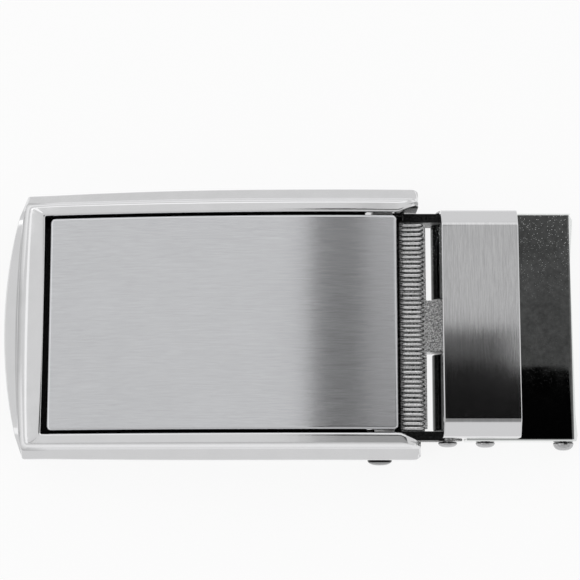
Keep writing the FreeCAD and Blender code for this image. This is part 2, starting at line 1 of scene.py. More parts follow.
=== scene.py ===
# %% [markdown]
# The buckle is a small metal assembly: a cast frame, a brushed face plate, a ribbed base, a sheet-metal clasp
# and four rivets. The imported model gives every piece its place and size, and the looks are built round it.

# %% Load the frame
import json
import math

import bmesh
import bpy
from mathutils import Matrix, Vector


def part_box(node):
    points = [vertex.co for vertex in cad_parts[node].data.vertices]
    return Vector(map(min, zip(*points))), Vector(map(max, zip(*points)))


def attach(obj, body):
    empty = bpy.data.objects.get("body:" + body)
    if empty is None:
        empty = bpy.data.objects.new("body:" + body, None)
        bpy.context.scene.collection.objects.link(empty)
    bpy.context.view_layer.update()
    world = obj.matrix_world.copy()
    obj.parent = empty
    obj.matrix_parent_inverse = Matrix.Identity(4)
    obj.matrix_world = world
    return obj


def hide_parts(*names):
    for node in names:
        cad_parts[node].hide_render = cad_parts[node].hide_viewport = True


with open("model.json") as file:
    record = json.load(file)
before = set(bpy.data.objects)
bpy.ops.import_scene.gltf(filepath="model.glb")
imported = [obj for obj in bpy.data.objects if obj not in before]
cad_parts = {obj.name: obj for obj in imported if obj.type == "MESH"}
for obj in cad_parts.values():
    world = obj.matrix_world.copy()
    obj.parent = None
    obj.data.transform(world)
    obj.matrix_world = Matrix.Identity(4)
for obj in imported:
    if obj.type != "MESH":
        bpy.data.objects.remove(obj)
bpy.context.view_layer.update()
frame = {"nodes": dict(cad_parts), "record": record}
MM = 0.001
nodes = frame["nodes"]
print("nodes", sorted(nodes))

# %% [markdown]
# The sizes that more than one piece needs, in metres: the arch that the face follows, the ribbed strip and
# the crease of the keeper band. They are the solid model's own sizes.

# %% Sizes
ARCH_RADIUS = 296 * MM
ARCH_X = 7.1 * MM
FACE_HEIGHT = 11.8 * MM
STRIP_LEFT = 17.5 * MM
STRIP_TOP = 4.7 * MM
RIB_COUNT = 45
RIB_PITCH = 0.765 * MM
BAND_CREASE = 15.9 * MM


def arch_height(x):
    """The face's height above the floor at x."""
    return FACE_HEIGHT - ARCH_RADIUS + math.sqrt(ARCH_RADIUS**2 - (x - ARCH_X) ** 2)


# %% [markdown]
# The picture was taken from almost straight above, a little from the near long side. A long lens from about
# 27 cm gives the same slight widening of what stands higher.

# %% Camera
LOOK_AT = Vector((-0.12, 6.72, 0.0)) * MM
ELEVATION = math.radians(81.5)
DISTANCE = 277 * MM
FOCAL_SHARE = 1647 / 580
SENSOR = 36.0

lens = bpy.data.cameras.new("camera")
lens.sensor_width = SENSOR
lens.lens = FOCAL_SHARE * SENSOR
lens.clip_start = 0.01
lens.clip_end = 20
camera = bpy.data.objects.new("camera", lens)
away = Vector((0, -math.cos(ELEVATION), math.sin(ELEVATION)))
camera.location = LOOK_AT + away * DISTANCE
camera.rotation_euler = (-away).to_track_quat("-Z", "Y").to_euler()
bpy.context.scene.collection.objects.link(camera)
bpy.context.scene.camera = camera
print("camera", [round(v, 4) for v in camera.location])

# %% [markdown]
# Finishes and the light of the room are trees of nodes. One helper adds a node, sets its inputs and links
# them, so that each tree below reads as a list of steps.


# %% Node helper
def add(tree, kind, values=None, **settings):
    """A new node with its settings, and its inputs either set or linked."""
    node = tree.nodes.new(kind)
    for key, value in settings.items():
        setattr(node, key, value)
    for key, value in (values or {}).items():
        if isinstance(value, bpy.types.NodeSocket):
            tree.links.new(value, node.inputs[key])
        else:
            node.inputs[key].default_value = value
    return node


print("node helper ready")

# %% [markdown]
# Metal shows what it mirrors, so the room is part of the finish. A soft dome, a little darker near the
# horizon, does most of the work. A photographer would add a long softbox beyond the far side and one on the
# left, which draw the bright lines along the rounded edges, and so does this room.

# %% Dome
DOME_LIGHT = 0.77
HORIZON_LIGHT = 0.95
HORIZON_TOP = 0.32

scene = bpy.context.scene
scene.view_settings.view_transform = "Standard"
world = bpy.data.worlds.new("soft_dome")
scene.world = world
world.use_nodes = True
dome = world.node_tree
sky = dome.nodes["Background"]
sky.inputs["Color"].default_value = (1.0, 1.0, 1.0, 1)
where = add(dome, "ShaderNodeTexCoord")
up = add(dome, "ShaderNodeSeparateXYZ", {"Vector": where.outputs["Generated"]})
fade = {
    "Value": up.outputs["Z"],
    "From Min": 0.0,
    "From Max": HORIZON_TOP,
    "To Min": HORIZON_LIGHT * DOME_LIGHT,
    "To Max": DOME_LIGHT,
}
strength = add(dome, "ShaderNodeMapRange", fade).outputs["Result"]
dome.links.new(strength, sky.inputs["Strength"])
print("dome", DOME_LIGHT)

# %% Softboxes
SOFTBOX_DISTANCE = 1.2
# Each softbox: its lean from straight up towards +X and +Y in degrees, its width, height and radiance.
SOFTBOXES = {
    "far_softbox": (0, 48, 2.4, 0.5, 0.42),
    "left_softbox": (-50, 0, 1.6, 0.42, 0.36),
}


def softbox(name, x_degrees, y_degrees, width, height, radiance):
    """A rectangular light that faces the buckle, as bright all over as the radiance says."""
    direction = Vector((math.tan(math.radians(x_degrees)), math.tan(math.radians(y_degrees)), 1))
    light = bpy.data.lights.new(name, "AREA")
    light.shape = "RECTANGLE"
    light.size = width
    light.size_y = height
    light.energy = radiance * math.pi * width * height
    lamp = bpy.data.objects.new(name, light)
    lamp.location = direction.normalized() * SOFTBOX_DISTANCE
    lamp.rotation_euler = (-direction).to_track_quat("-Z", "Y").to_euler()
    scene.collection.objects.link(lamp)


for name, sizes in SOFTBOXES.items():
    softbox(name, *sizes)
print("softboxes", sorted(SOFTBOXES))

# %% [markdown]
# Polished metal gets its depth from what is dark in the room. Black cards over the right near side darken
# the right part of the face plate and the near end of the band, and grey ones draw the softer shades beside
# them. A card is placed by the angles that its edges are seen at from the buckle, because a mirror shows
# angles, not places. The floor is pale paper that glows a little, so that it stays white in every view.

# %% Cards and floor
CARD_HEIGHT = 0.9
FLOOR_GLOW = 0.88
FLOOR_ALBEDO = 0.12
FLOOR_REACH = 6.0
FLOOR_DROP = 0.05 * MM
# Each card: its left, right, near and far edge in degrees from straight up, and how much light it gives back.
CARDS = {
    "black_card": (-0.6, 10.2, -9, 5.6, 0.012),
    "black_end_card": (10.2, 40, -9, 5.3, 0.012),
    "near_card": (-0.6, 40, -42, -9, 0.40),
    "low_card": (-40, -0.6, -56, -28, 0.6),
    "camera_card": (-0.6, 5.2, 5.6, 22, 0.10),
    "edge_card": (5.2, 10.2, 5.6, 7.0, 0.13),
    "side_card": (5.2, 7.6, 22, 36, 0.5),
}


def paper(name, albedo, glow=0.0):
    """Matt paper, which may glow evenly."""
    material = bpy.data.materials.new(name)
    material.use_nodes = True
    shader = material.node_tree.nodes["Principled BSDF"]
    shader.inputs["Base Color"].default_value = (albedo, albedo, albedo, 1)
    shader.inputs["Roughness"].default_value = 1.0
    shader.inputs["Specular IOR Level"].default_value = 0.0
    shader.inputs["Emission Color"].default_value = (1, 1, 1, 1)
    shader.inputs["Emission Strength"].default_value = glow
    return material


def board(name, x0, x1, y0, y1, z, material):
    """A flat rectangle of the room, which isn't part of the buckle."""
    corners = [(x0, y0, z), (x1, y0, z), (x1, y1, z), (x0, y1, z)]
    mesh = bpy.data.meshes.new(name)
    mesh.from_pydata(corners, [], [(0, 1, 2, 3)])
    mesh.materials.append(material)
    flat = bpy.data.objects.new(name, mesh)
    scene.collection.objects.link(flat)


for name, (*edges, albedo) in CARDS.items():
    places = [CARD_HEIGHT * math.tan(math.radians(edge)) for edge in edges]
    board(name, *places, CARD_HEIGHT, paper(name, albedo))
floor_paper = paper("pale_paper", FLOOR_ALBEDO, FLOOR_GLOW)
board("floor", -FLOOR_REACH, FLOOR_REACH, -FLOOR_REACH, FLOOR_REACH, -FLOOR_DROP, floor_paper)
print("cards", sorted(CARDS))

# %% [markdown]
# Every finish starts from the same metal shader. Small helpers keep the node trees short: they do a step of
# arithmetic, add noise on the piece's own coordinates, or turn a field into a soft change of a value.


# %% Helpers for finishes
def calc(tree, operation, *values):
    """One step of arithmetic on fields or numbers."""
    return add(tree, "ShaderNodeMath", dict(enumerate(values)), operation=operation).outputs[0]


def times(tree, field, share):
    """The product of two fields or numbers."""
    return calc(tree, "MULTIPLY", field, share)


def metal(name, colour, roughness):
    """A metal with no detail yet, its tree and its shader."""
    material = bpy.data.materials.new(name)
    material.use_nodes = True
    tree = material.node_tree
    shader = tree.nodes["Principled BSDF"]
    shader.inputs["Base Color"].default_value = (*colour, 1)
    shader.inputs["Metallic"].default_value = 1.0
    shader.inputs["Roughness"].default_value = roughness
    return material, tree, shader


def wire(shader, name, field):
    """Links a field to an input of the shader."""
    shader.id_data.links.new(field, shader.inputs[name])


def place_of(tree, stretch=(1, 1, 1)):
    """The piece's own coordinates in millimetres, stretched."""
    where = add(tree, "ShaderNodeTexCoord")
    values = {"Vector": where.outputs["Object"], "Scale": [share / MM for share in stretch]}
    return add(tree, "ShaderNodeMapping", values).outputs["Vector"]


def axes_of(tree):
    """The three coordinates of the piece in millimetres, under "X", "Y" and "Z"."""
    return add(tree, "ShaderNodeSeparateXYZ", {"Vector": place_of(tree)}).outputs


def noise(tree, stretch, detail=2.0, rough=0.6):
    """A noise field with about as many grains per millimetre as the stretch says."""
    values = {"Vector": place_of(tree, stretch), "Scale": 1.0, "Detail": detail, "Roughness": rough}
    return add(tree, "ShaderNodeTexNoise", values).outputs["Fac"]


def spread(tree, field, low, high, from_low=0.3, from_high=0.7):
    """Maps a field from its usual range to low and high."""
    values = {"Value": field, "From Min": from_low, "From Max": from_high, "To Min": low, "To Max": high}
    return add(tree, "ShaderNodeMapRange", values).outputs["Result"]


def between(tree, share, none, full):
    """One value where the share is 0, another where it is 1."""
    return spread(tree, share, none, full, 0.0, 1.0)


def past(tree, field, limit, width=0.1):
    """0 up to a limit and 1 past it, in millimetres."""
    return spread(tree, field, 0.0, 1.0, limit, limit + width)


def short_of(tree, field, limit, width=0.1):
    """1 up to a limit and 0 past it, in millimetres."""
    return spread(tree, field, 1.0, 0.0, limit, limit + width)


def tinted(tree, value, tint):
    """A colour from one field and a share for each of red, green and blue."""
    parts = [times(tree, value, share) for share in tint]
    names = ("Red", "Green", "Blue")
    return add(tree, "ShaderNodeCombineColor", dict(zip(names, parts))).outputs["Color"]


def bump(tree, height, depth, normal=None):
    """Raises the surface by up to depth, in metres."""
    values = {"Height": height, "Distance": depth, "Strength": 1.0}
    if normal is not None:
        values["Normal"] = normal
    return add(tree, "ShaderNodeBump", values).outputs["Normal"]


def fixed_direction(tree, direction):
    """A fixed direction of the piece, as the shader's tangent."""
    spaces = {"vector_type": "VECTOR", "convert_from": "OBJECT", "convert_to": "WORLD"}
    return add(tree, "ShaderNodeVectorTransform", {"Vector": direction}, **spaces).outputs["Vector"]


def specks(tree, density, size, share_left_out):
    """1 inside small scattered dots, 0 elsewhere. The density is dots per millimetre, and the size is a
    share of the distance between them."""
    values = {"Vector": place_of(tree), "Scale": density, "Randomness": 1.0}
    cells = add(tree, "ShaderNodeTexVoronoi", values, feature="F1")
    painted_room_shade = spread(tree, cells.outputs["Distance"], 1.0, 0.0, size * 0.5, size)
    chosen = add(tree, "ShaderNodeSeparateColor", {"Color": cells.outputs["Color"]}).outputs["Red"]
    rare = calc(tree, "GREATER_THAN", chosen, share_left_out)
    return times(tree, painted_room_shade, rare)


print("helpers for finishes ready")

# %% [markdown]
# The frame is cast zinc, polished and plated with satin nickel. It mirrors the room softly. A very low, wide
# waviness from hand polishing keeps its highlights alive, and a finer one breaks them a little.


# %% Satin plated casting
# Inside these limits, in millimetres, lies the room behind the face plate, where shade is painted into the
# colour.
ROOM_HALF_WIDTH = 18.6
ROOM_TOP = 6.0
ROOM_LEFT = -41.5


def satin_casting():
    """Softly polished, with painted shade in the groove of the left bar and behind the face plate."""
    material, tree, shader = metal("satin_cast_metal", (0.775, 0.775, 0.785), 0.13)
    cloud = noise(tree, (0.35, 0.35, 0.35), 3.0)
    wire(shader, "Roughness", spread(tree, cloud, 0.1, 0.17))
    spot = axes_of(tree)
    # Painted shade: the colour is darkened inside the room behind the face plate.
    within = short_of(tree, calc(tree, "ABSOLUTE", spot["Y"]), ROOM_HALF_WIDTH)
    under = short_of(tree, spot["Z"], ROOM_TOP)
    painted_room_shade = times(tree, within, under)
    painted_room_shade = times(tree, painted_room_shade, past(tree, spot["X"], ROOM_LEFT))
    # Painted shade: the colour is darkened along the marked groove of the left bar.
    groove_shade = add(tree, "ShaderNodeAttribute", attribute_name="groove_shade").outputs["Fac"]
    painted_shade = times(tree, between(tree, groove_shade, 1.0, 0.68), between(tree, painted_room_shade, 1.0, 0.02))
    tone = times(tree, spread(tree, cloud, 0.765, 0.79), painted_shade)
    wire(shader, "Base Color", tinted(tree, tone, (1, 1, 1.01)))
    waves = bump(tree, noise(tree, (0.5, 0.5, 0.5), 1.0), 0.006 * MM)
    fine = bump(tree, noise(tree, (9, 9, 9), 2.0), 0.0012 * MM, waves)
    wire(shader, "Normal", fine)
    return material


print("dark room up to", ROOM_TOP, "mm high")

# %% [markdown]
# A brushed face has fine scratches in one direction. They spread a reflection across the grain and leave it
# sharp along the grain, which an anisotropic shader does. Long thin noise adds the scratches that the eye can
# follow, as small changes of colour, roughness and height. One function serves the face plate, with its grain
# along the belt, and the keeper band, with its grain across it.


# %% Brushed faces
# How many scratches there are per millimetre, along the grain and across it.
SCRATCHES_ALONG = 0.22
SCRATCHES_ACROSS = 7.0
FINER = 2.3


def brushed(name, colour, along_x, roughness, strength, contrast):
    """Scratched metal. The strength is how far a reflection spreads across the grain."""
    material, tree, shader = metal(name, colour, roughness)
    stretch = (SCRATCHES_ALONG, SCRATCHES_ACROSS, 0.5)
    if not along_x:
        stretch = (SCRATCHES_ACROSS, SCRATCHES_ALONG, 0.5)
    streaks = noise(tree, stretch, 3.0, 0.7)
    fine = noise(tree, [share * FINER for share in stretch], 2.0, 0.7)
    half = times(tree, calc(tree, "ADD", streaks, fine), 0.5)
    level = spread(tree, half, 1 - contrast, 1 + contrast, 0.38, 0.62)
    mottled = spread(tree, noise(tree, (0.12, 0.12, 0.12), 2.0), 0.985, 1.015)
    shade = times(tree, level, mottled)
    wire(shader, "Base Color", tinted(tree, shade, colour))
    wire(shader, "Roughness", spread(tree, half, roughness * 0.88, roughness * 1.12))
    wire(shader, "Normal", bump(tree, half, 0.0012 * MM))
    shader.inputs["Anisotropic"].default_value = strength
    across_grain = (0.0, 1.0, 0.0) if along_x else (1.0, 0.0, 0.0)
    wire(shader, "Tangent", fixed_direction(tree, across_grain))
    return material, tree, shader


def off_middle(tree, field, middle=0.0):
    """How far a coordinate is from a middle line."""
    return calc(tree, "ABSOLUTE", calc(tree, "SUBTRACT", field, middle))


# %% Face plate's brushing
# The polished rim lies past these distances from the plate's middle, in millimetres.
PLATE_MIDDLE = -11.15
RIM_X = 27.8
RIM_Y = 16.85


def brushed_plate():
    """Brushed all over, and polished along the rolled rim."""
    colour = (0.66, 0.665, 0.682)
    material, tree, shader = brushed("brushed_plate", colour, True, 0.22, 1.0, 0.05)
    spot = axes_of(tree)
    ends = past(tree, off_middle(tree, spot["X"], PLATE_MIDDLE), RIM_X)
    sides = past(tree, off_middle(tree, spot["Y"]), RIM_Y)
    rim = calc(tree, "MAXIMUM", ends, sides)
    scratched = shader.inputs["Roughness"].links[0].from_socket
    rough = times(tree, scratched, between(tree, rim, 1.0, 0.45))
    wire(shader, "Roughness", rough)
    return material


print("polished rim past", RIM_X, "and", RIM_Y, "mm")

# %% Keeper band's brushing
# Its two long edges, past this distance from its middle line, are rubbed bright, in millimetres.
BAND_MIDDLE = 30.75
BAND_RUBBED = 6.05


def brushed_band():
    """Brushed on the flat, polished on the two slanted shoulders and along its edges."""
    colour = (0.53, 0.53, 0.535)
    material, tree, shader = brushed("brushed_band", colour, False, 0.07, 0.3, 0.14)
    spot = axes_of(tree)
    shoulder = past(tree, off_middle(tree, spot["Y"]), BAND_CREASE / MM + 0.1, 0.4)
    edge = past(tree, off_middle(tree, spot["X"], BAND_MIDDLE), BAND_RUBBED, 0.05)
    mix = add(tree, "ShaderNodeMix", data_type="RGBA")
    tree.links.new(calc(tree, "MAXIMUM", shoulder, edge), mix.inputs[0])
    tree.links.new(shader.inputs["Base Color"].links[0].from_socket, mix.inputs[6])
    mix.inputs[7].default_value = (0.77, 0.77, 0.78, 1)
    wire(shader, "Base Color", mix.outputs[2])
    return material


print("polished shoulders past", round(BAND_CREASE / MM, 2), "mm")

# %% [markdown]
# The clasp's sheet metal is polished to a mirror and thinly plated, so it looks dark where the room is dark.
# It has been handled: it carries dust specks, faint smudges and a few worn spots. The specks are rough and
# pale, and the smudges only change the roughness.


# %% Dark polished sheet
# The rubbed side walls and right end lie past these places, in millimetres.
RUBBED_Y = 18.55
RUBBED_X = 46.2


def dust_specks(tree, smudge, spot):
    """Dust, more of it towards the far side and where the smudges are."""
    upper = spread(tree, spot["Y"], 0.0, 1.0, -2.0, 15.0)
    crowd = times(tree, smudge, upper)
    chosen = spread(tree, crowd, 0.04, 0.9, 0.2, 0.55)
    return times(tree, specks(tree, 4.0, 0.3, 0.5), chosen)


def dark_sheet():
    """Dark on its top face and on the rolls, brighter where its sides and edges are rubbed."""
    material, tree, shader = metal("dark_polished_sheet", (0.07, 0.074, 0.072), 0.05)
    spot = axes_of(tree)
    sides = past(tree, off_middle(tree, spot["Y"]), RUBBED_Y)
    rubbed = calc(tree, "MAXIMUM", sides, past(tree, spot["X"], RUBBED_X))
    smudge = noise(tree, (0.3, 0.22, 0.3), 4.0, 0.65)
    grime = spread(tree, noise(tree, (1.3, 1.3, 1.3), 3.0, 0.7), 0.75, 1.2)
    dust = dust_specks(tree, smudge, spot)
    rough = calc(tree, "MULTIPLY_ADD", dust, 0.5, spread(tree, smudge, 0.015, 0.05))
    wire(shader, "Roughness", rough)
    dark = times(tree, spread(tree, smudge, 0.058, 0.085), grime)
    plain = calc(tree, "MULTIPLY_ADD", rubbed, 0.68, dark)
    lit = calc(tree, "MULTIPLY_ADD", dust, 0.8, plain)
    wire(shader, "Base Color", tinted(tree, lit, (0.98, 1.0, 0.99)))
    wave = bump(tree, noise(tree, (0.3, 0.3, 0.3), 1.0), 0.002 * MM)
    wire(shader, "Normal", bump(tree, dust, 0.01 * MM, wave))
    return material


print("rubbed past", RUBBED_X, "and", RUBBED_Y, "mm")

# %% [markdown]
# The base plate was plated straight over its rough cast skin, so it is grainy and sparkles: a coarse grain in
# the height, and a finer one that changes how dark each grain is.


# %% Rough casting
# Shade is painted past this half width, up to this place along the belt, in millimetres.
PAINTED_SHADE_FROM = 16.9
PAINTED_SHADE_TO = 25.0


def ribbed_casting():
    """The ridges' crests are painted bright and their sides painted dark: painted highlight and painted
    shade.
    """
    material, tree, shader = metal("ribbed_cast_metal", (0.9, 0.9, 0.9), 0.2)
    grains = noise(tree, (5.5, 5.5, 5.5), 3.0, 0.7)
    level = STRIP_TOP / MM
    # Painted highlight on the crests and painted shade on the sides: the colour runs from dark to bright with
    # height.
    painted_crest_light = spread(tree, axes_of(tree)["Z"], 0.05, 1.0, level + 0.2, level + 0.37)
    tone = times(tree, spread(tree, grains, 0.6, 1.0), painted_crest_light)
    wire(shader, "Base Color", tinted(tree, tone, (1, 1, 1)))
    wire(shader, "Roughness", spread(tree, grains, 0.12, 0.3))
    wire(shader, "Normal", bump(tree, grains, 0.03 * MM))
    return material


def rough_casting():
    """Grainy where it shows, with painted shade beside the strip and painted shadow under the face plate."""
    material, tree, shader = metal("raw_cast_metal", (0.5, 0.5, 0.5), 0.3)
    grains = noise(tree, (4.2, 4.2, 4.2), 3.0, 0.7)
    fine = noise(tree, (12, 12, 12), 2.0, 0.7)
    spot = axes_of(tree)
    # Painted shadow under the face plate's edge, and painted shade beside the strip under the rails.
    uncovered = STRIP_LEFT / MM + 0.4
    along = spread(tree, spot["X"], 0.012, 1.0, uncovered, uncovered + 0.4)
    shade_beside_strip = spread(tree, off_middle(tree, spot["Y"]), 1.0, 0.03, PAINTED_SHADE_FROM, PAINTED_SHADE_FROM + 0.5)
    shade_beside_strip = calc(tree, "MAXIMUM", shade_beside_strip, past(tree, spot["X"], PAINTED_SHADE_TO, 0.3))
    painted_strip_shade = times(tree, along, shade_beside_strip)
    tone = times(tree, spread(tree, grains, 0.12, 0.98, 0.36, 0.64), painted_strip_shade)
    wire(shader, "Base Color", tinted(tree, tone, (1, 1, 1)))
    wire(shader, "Roughness", spread(tree, fine, 0.18, 0.42))
    coarse = bump(tree, grains, 0.12 * MM)
    wire(shader, "Normal", bump(tree, fine, 0.03 * MM, coarse))
    return material


# The painted shade starts past this half width.
print("soiled past", PAINTED_SHADE_FROM, "mm")

# %% [markdown]
# The hidden lever and jaw are plain plated steel with a drawn grain. The rivets are brighter, with handling
# marks, and painted shade in the corner under their heads, which the meshes mark with an attribute.


# %% Plain steel and rivets
def plain_steel():
    """Plated steel with a drawn grain along the belt."""
    material, tree, shader = metal("plain_plated_steel", (0.6, 0.6, 0.6), 0.28)
    drawn = noise(tree, (0.6, 6, 6), 2.0)
    wire(shader, "Roughness", spread(tree, drawn, 0.22, 0.36))
    wire(shader, "Base Color", tinted(tree, spread(tree, drawn, 0.56, 0.64), (1, 1, 1)))
    wire(shader, "Normal", bump(tree, drawn, 0.002 * MM))
    return material


def polished_rivet():
    """Polished, and darkened by the mesh's attribute: painted shade under the rim of each head, and a plain
    darkening where it is given.
    """
    material, tree, shader = metal("polished_rivet", (0.6, 0.6, 0.61), 0.12)
    marks = noise(tree, (3, 3, 3), 3.0)
    wire(shader, "Roughness", spread(tree, marks, 0.08, 0.2))
    # Painted shade under the rim of each head, carried by the mesh's attribute.
    shade_and_darkening = add(tree, "ShaderNodeAttribute", attribute_name="shade_and_darkening").outputs["Fac"]
    unshaded = spread(tree, shade_and_darkening, 1.0, 0.02, 0.2, 0.7)
    tone = times(tree, spread(tree, marks, 0.4, 0.54), unshaded)
    wire(shader, "Base Color", tinted(tree, tone, (1, 1, 1.01)))
    wire(shader, "Normal", bump(tree, marks, 0.003 * MM))
    return material


# %% Finishes by slot
FINISHES = {
    "satin_cast_metal": satin_casting(),
    "raw_cast_metal": rough_casting(),
    "brushed_plate": brushed_plate(),
    "brushed_band": brushed_band(),
    "dark_polished_sheet": dark_sheet(),
    "polished_rivet": polished_rivet(),
    "plain_plated_steel": plain_steel(),
}
SLOT_OF = {row["node"]: row["material_slot"] for row in frame["record"]["subparts"]}
bodies = frame["record"]["behaviour"]["bodies"]
BODY_OF = {name: body for body, names in bodies.items() for name in names}
print("finishes", sorted(FINISHES))

# %% [markdown]
# The pawl lever and the jaw keep the exact shape of the solid and only need their sharp edges eased, because
# a real piece has no knife edges, and an eased edge is what catches the light. Their mesh is copied, its
# loose triangles are merged and its flat faces joined, and a bevel goes round every sharp edge.


# %% Filing a piece
def stand_for(piece, node):
    """Gives a new piece the finish, body and slot of the node that it stands for."""
    scene.collection.objects.link(piece)
    piece.data.materials.clear()
    piece.data.materials.append(FINISHES[SLOT_OF[node]])
    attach(piece, BODY_OF[node])
    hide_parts(node)


# %% Eased copies
EASED = {"pawl_lever": 0.1 * MM, "clamp_jaw": 0.1 * MM}


def eased_copy(node, width, segments=3, sharp_degrees=32):
    """A copy of a node with rounded edges, in the node's place, with its finish."""
    mesh = bpy.data.meshes.new(node + "_eased")
    work = bmesh.new()
    work.from_mesh(nodes[node].data)
    bmesh.ops.remove_doubles(work, verts=work.verts, dist=0.002 * MM)
    flat = math.radians(0.4)
    bmesh.ops.dissolve_limit(work, angle_limit=flat, verts=work.verts, edges=work.edges)
    for face in work.faces:
        face.smooth = True
    work.to_mesh(mesh)
    work.free()
    piece = bpy.data.objects.new(node + "_eased", mesh)
    round_off = piece.modifiers.new("eased_edges", "BEVEL")
    round_off.width = width
    round_off.segments = segments
    round_off.limit_method = "ANGLE"
    round_off.angle_limit = math.radians(sharp_degrees)
    round_off.harden_normals = True
    round_off.use_clamp_overlap = True
    stand_for(piece, node)
    return piece


for node, width in EASED.items():
    piece = eased_copy(node, width)
    print(piece.name, len(piece.data.polygons), "faces before easing")

# %% [markdown]
# Most pieces keep one section along their length, and bend or taper on the way. So they are lofts: a section
# is a list of corners, each with its own rounding, and rings of its points are joined into a closed mesh.


# %% Loft helpers
def rounding(corners):
    """For each (u, v, radius, steps) corner of a closed section: the shares that its rounded points take
    of the corner before and the corner after."""
    shares = []
    for index, (u, v, radius, steps) in enumerate(corners):
        here = Vector((u, v))
        before = Vector(corners[index - 1][:2]) - here
        after = Vector(corners[(index + 1) % len(corners)][:2]) - here
        half = max(before.angle(after) / 2, 1e-3)
        reach = min(radius / math.tan(half), 0.45 * before.length, 0.45 * after.length)
        for step in range(steps + 1):
            t = step / steps
            back = (1 - t) ** 2 * reach / before.length
            on = t * t * reach / after.length
            shares.append((index, back, on))
    return shares


def blend(values, shares):
    """The values of the corners, taken at the rounded points."""
    count = len(values)
    points = []
    for index, back, on in shares:
        here = values[index]
        before = values[index - 1]
        after = values[(index + 1) % count]
        points.append(here + (before - here) * back + (after - here) * on)
    return points


def rounded_corners(corners):
    """A closed section with its corners rounded."""
    return blend([Vector(corner[:2]) for corner in corners], rounding(corners))


def loft(name, rings):
    """A mesh through rings of equal length, with its two ends closed."""
    count = len(rings[0])
    points = [point for ring in rings for point in ring]
    faces = []
    for row in range(len(rings) - 1):
        for column in range(count):
            a = row * count + column
            b = row * count + (column + 1) % count
            faces.append((a, b, b + count, a + count))
    faces.append(tuple(reversed(range(count))))
    faces.append(tuple(range((len(rings) - 1) * count, len(rings) * count)))
    mesh = bpy.data.meshes.new(name)
    mesh.from_pydata([tuple(point) for point in points], [], faces)
    return mesh


def finish_piece(mesh, node, sharp_degrees=35):
    """Merges, shades and files a mesh as the piece that stands for a node."""
    work = bmesh.new()
    work.from_mesh(mesh)
    bmesh.ops.remove_doubles(work, verts=work.verts, dist=0.0005 * MM)
    bmesh.ops.recalc_face_normals(work, faces=work.faces)
    for face in work.faces:
        face.smooth = True
    for edge in work.edges:
        edge.smooth = edge.calc_face_angle(0.0) < math.radians(sharp_degrees)
    work.to_mesh(mesh)
    work.free()
    piece = bpy.data.objects.new(mesh.name, mesh)
    even = piece.modifiers.new("even_shading", "WEIGHTED_NORMAL")
    even.keep_sharp = True
    stand_for(piece, node)
    print(mesh.name, len(mesh.polygons), "faces")


# %% [markdown]
# The frame's section runs along the far rail, round the left bar and back along the near rail. A sweep along
# a curve would keep it the same, but on the real casting the step and the skirt change on the way. So every
# corner of the section is a row in a table, with its place on the rail, at the middle of the left bar and at
# the corner between them.

# %% Frame section
# Each row: half width on the rail, height there under the arch, x and height at the middle of the left bar,
# x at the corner, plan radius of the corner, rounding, steps. A height of None stands on the floor.
FRAME_SECTION = {
    "rim": (17.85, 0.0, -40.3, 7.95, -40.3, 0.2, 0.55, 6),
    "painted_crest_light": (19.75, -0.28, -43.4, 7.36, -43.2, 0.9, 0.8, 8),
    "foot": (20.4, -1.85, -44.75, 6.25, -43.95, 0.8, 0.35, 4),
    "skirt_start": (20.75, -2.08, -45.2, 6.21, -44.0, 0.7, 0.1, 1),
    "skirt_edge": (22.15, -3.0, -47.0, 6.1, -43.9, 0.45, 0.3, 4),
    "skirt_lower_edge": (22.15, -3.75, -47.0, 5.4, -43.9, 0.45, 0.2, 2),
    "wall_top": (21.7, -3.8, -46.5, 5.4, -43.5, 0.4, 0.1, 1),
    "wall_foot": (21.7, None, -43.4, 5.4, -43.3, 0.4, 0.15, 2),
    "inner_foot": (19.3, None, -40.5, 5.4, -40.5, 0.2, 0.15, 2),
    "room_corner": (19.3, -1.4, -40.5, 5.7, -40.5, 0.2, 0.1, 1),
    "rim_underside": (17.8, -1.4, -40.5, 6.5, -40.5, 0.25, 0.15, 1),
}
# The left bar's own roundings, where they differ.
BAR_ROUNDING = {"rim": 0.15, "painted_crest_light": 2.6, "foot": 0.9}
print("frame section", len(FRAME_SECTION), "corners")

# %% [markdown]
# The rails narrow a little to the left, their right ends roll down and are rounded in plan, and their inner
# side flares where the clasp comes in.


# %% Lines along the rails
RAIL_LEFT = -39.3
RAIL_RIGHT = 21.0
WAIST_X = -8.0
NARROWING = 0.3
ROLL_START = 17.0
ROLL = 4.0
RAIL_END_ROUND = 1.2
FLARE_START = 17.5
FLARE_END = 20.6
FLARE = 1.5
WALL_INNER = 19.3
SKIRT = FRAME_SECTION["skirt_edge"][0]


def rail_half_width(y, x, inner):
    """How far out a line lies at x: inner lines flare, outer ones narrow and end in a round corner."""
    if inner:
        return y + FLARE * min(max((x - FLARE_START) / (FLARE_END - FLARE_START), 0), 1)
    narrow = NARROWING * (min(x - WAIST_X, 0) / (RAIL_LEFT - WAIST_X)) ** 2
    turn = max(x - (RAIL_RIGHT - RAIL_END_ROUND), 0)
    end = SKIRT - RAIL_END_ROUND + math.sqrt(max(RAIL_END_ROUND**2 - turn**2, 0))
    share = max(y - WALL_INNER, 0) / (SKIRT - WALL_INNER)
    return min(y - narrow * share, end)


def rail_height(drop, x):
    """The section's height at x, with the right end rolled over."""
    turn = min(max(x - ROLL_START, 0), ROLL)
    roll = arch_height(ROLL_START * MM) / MM - (ROLL - math.sqrt(ROLL**2 - turn**2))
    level = arch_height(x * MM) / MM + drop
    return min(level, roll) if x > ROLL_START else level


